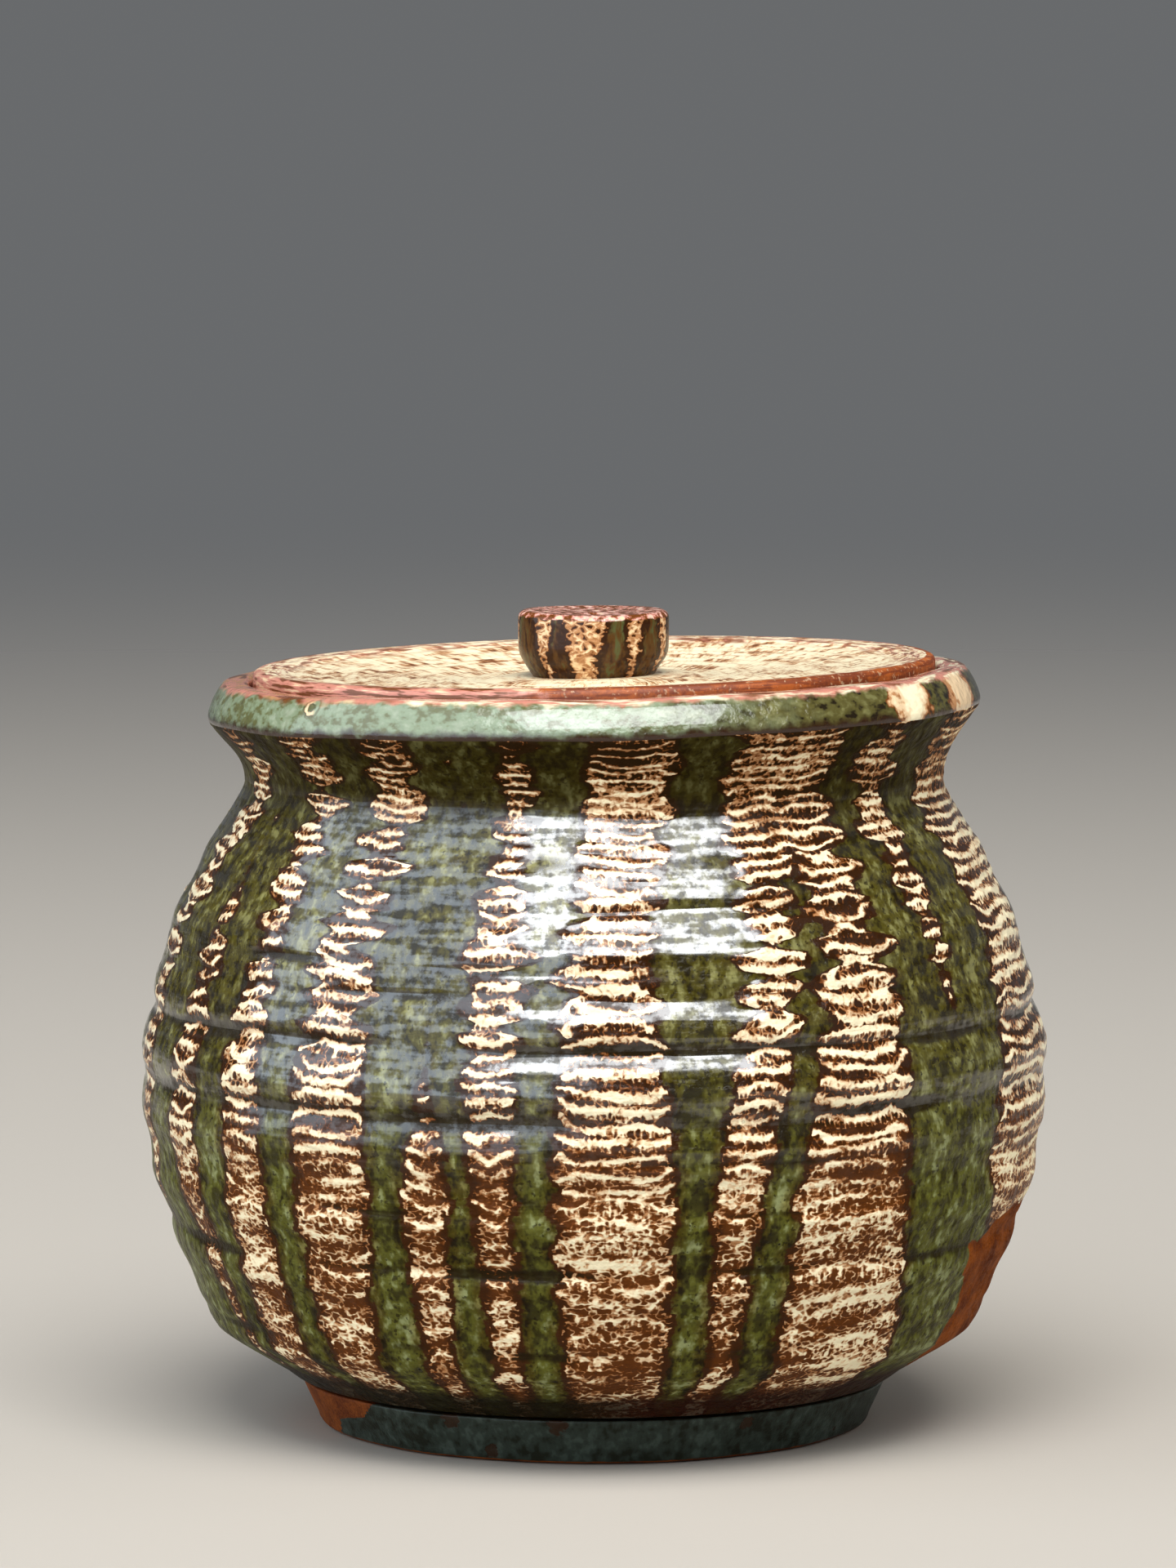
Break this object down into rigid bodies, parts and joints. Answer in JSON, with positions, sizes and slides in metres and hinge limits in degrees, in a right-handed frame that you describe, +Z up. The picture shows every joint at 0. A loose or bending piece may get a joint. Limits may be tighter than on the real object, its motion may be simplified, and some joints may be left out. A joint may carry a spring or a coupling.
{
  "type": "lidded jar",
  "caption": "Round-bellied glazed stoneware jar on a turned foot ring, with a loose dished lid and knob that lifts off the ledge inside its flared rim.",
  "frame": {"origin": "on the resting plane, under the middle of the foot ring", "axes": "+Z up along the jar's axis of turning, -Y towards the viewer of the picture, +X to that viewer's right"},
  "size_m": [0.1396, 0.1396, 0.125],
  "materials": {
    "striped_glaze": "glossy olive green glaze in upright stripes between bands of crackled cream slip over rust brown clay",
    "foot_glaze": "satin blue grey glaze, worn through to rust brown clay at the edges",
    "lid_glaze": "glossy cream glaze with rust flecks, bare rust brown clay at the edge",
    "knob_glaze": "glossy dark brown and olive glaze with patches of crackled cream slip"
  },
  "bodies": {
    "jar": {"jar_body": "striped_glaze", "foot_ring": "foot_glaze"},
    "lid": {"lid_dish": "lid_glaze", "lid_knob": "knob_glaze"}
  },
  "joints": [
    {"name": "lid_lift", "type": "slide", "parent": "jar", "child": "lid", "axis": [0, 0, 1], "range_m": [0, 0.08]}
  ]
}
